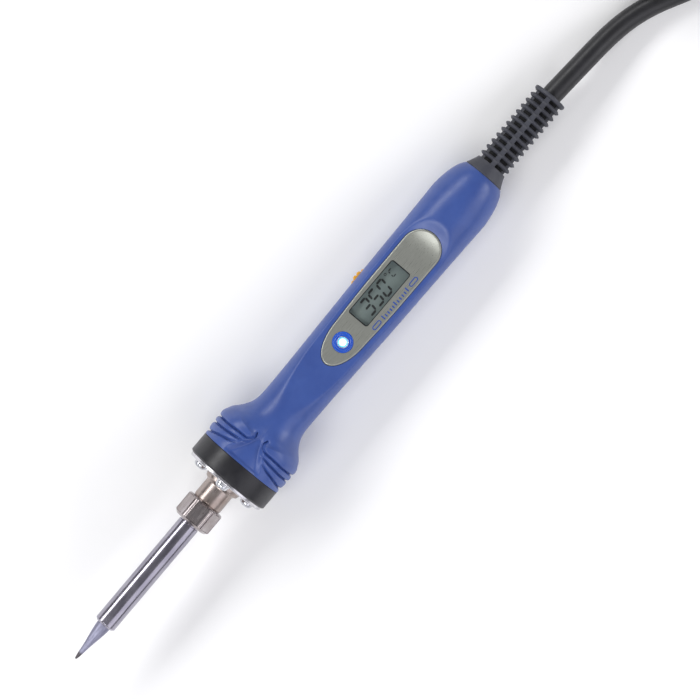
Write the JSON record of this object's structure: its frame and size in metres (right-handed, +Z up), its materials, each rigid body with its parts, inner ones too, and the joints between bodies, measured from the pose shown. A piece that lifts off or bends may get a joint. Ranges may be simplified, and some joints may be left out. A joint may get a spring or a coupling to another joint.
{
  "type": "soldering iron",
  "caption": "Pencil soldering iron with a plated tip, screw-off barrel, flared grip, digital display, side thumbwheel, ribbed cord guard and folded mains cord with plug.",
  "frame": {"origin": "middle of the tool's bounding box in plan, on the table it lies on, measured without the free cord, hank and plug", "axes": "+X along the tool from the tip to the cord, +Y towards the dial, +Z up with the display facing up"},
  "size_m": [0.4562, 0.0696, 0.0381],
  "materials": {
    "tip_plate": "plated, lightly drawn along its length",
    "tube_steel": "polished stainless, slightly worn",
    "nut_steel": "turned, heat tinted",
    "nipple_steel": "turned, heat tinted straw brown",
    "spring_steel": "bright wire",
    "plate_steel": "bright pressed sheet",
    "screw_steel": "bright",
    "collar_black": "fine matte moulding",
    "ceramic_heater": "white sintered ceramic",
    "ceramic_base": "cream steatite",
    "lead_red": "silicone sleeve",
    "lead_blue": "silicone sleeve",
    "handle_blue": "satin royal blue moulding",
    "shell_screw_steel": "blackened",
    "panel_grey": "satin grey with a bright edge",
    "window_clear": "clear flat window",
    "lcd_grey": "reflective display, dark segments",
    "contact_rubber": "striped contact strip",
    "ring_blue": "gloss blue bezel",
    "lens_clear": "frosted lens, lit",
    "board_green": "solder mask",
    "chip_black": "epoxy",
    "capacitor_brown": "dipped film",
    "fuse_glass": "glass tube with end caps",
    "connector_cream": "nylon",
    "terminal_blue": "nylon",
    "pot_dark": "moulded case",
    "shaft_steel": "turned",
    "dial_yellow": "amber moulding",
    "wire_brown": "PVC sleeve",
    "clamp_steel": "zinc plated",
    "guard_rubber": "dark grey flexible moulding",
    "cord_black": "black sheath",
    "tie_black": "woven hook and loop strap",
    "plug_black": "moulded, fine grain",
    "blade_brass": "plain brass"
  },
  "bodies": {
    "handle": {"nipple": "nipple_steel", "ground_spring": "spring_steel", "front_plate": "plate_steel", "plate_washers": "screw_steel", "plate_screws": "screw_steel", "front_collar": "collar_black", "heater_base": "ceramic_base", "heater_rod": "ceramic_heater", "heater_leads": "lead_red", "sensor_leads": "lead_blue", "upper_shell": "handle_blue", "lower_shell": "handle_blue", "shell_screws": "shell_screw_steel", "display_panel": "panel_grey", "display_window": "window_clear", "lcd_glass": "lcd_grey", "lcd_contacts": "contact_rubber", "indicator_ring": "ring_blue", "indicator_lens": "lens_clear", "indicator_led": "lens_clear", "circuit_board": "board_green", "control_chip": "chip_black", "triac": "chip_black", "film_capacitor": "capacitor_brown", "fuse": "fuse_glass", "heater_connector": "connector_cream", "mains_terminal": "terminal_blue", "dial_potentiometer": "pot_dark", "mains_leads": "wire_brown", "cord_clamp": "clamp_steel", "clamp_screws": "clamp_steel", "cord_guard": "guard_rubber", "inner_cord": "cord_black", "cord_run": "cord_black", "cord_hank": "cord_black", "hank_tie": "tie_black", "plug_lead": "cord_black", "plug_guard": "plug_black", "plug_body": "plug_black", "plug_blades": "blade_brass", "plug_ground_pin": "blade_brass"},
    "tip": {"soldering_tip": "tip_plate"},
    "tube": {"tip_tube": "tube_steel"},
    "nut": {"tube_nut": "nut_steel"},
    "dial": {"temperature_dial": "dial_yellow", "dial_shaft": "shaft_steel"}
  },
  "joints": [
    {"name": "dial_turn", "type": "hinge", "parent": "handle", "child": "dial", "pos_m": [0.03612, 0.0058, 0.01228], "axis": [0.0397, 0, 0.9992], "range_deg": [-135, 135]},
    {"name": "tip_pull_off", "type": "slide", "parent": "handle", "child": "tip", "axis": [-0.9992, 0, 0.0397], "range_m": [0, 0.052]},
    {"name": "tube_back_off", "type": "slide", "parent": "tip", "child": "tube", "axis": [-0.9992, 0, 0.0397], "range_m": [0, 0.005]},
    {"name": "nut_turn", "type": "hinge", "parent": "tube", "child": "nut", "pos_m": [-0.06157, 0, 0.01691], "axis": [-0.9992, 0, 0.0397], "range_deg": [0, 1800]}
  ],
  "couplings": [
    {"joint": "nut_turn", "follows": "tube_back_off", "rad_per_m": 6283.2}
  ]
}
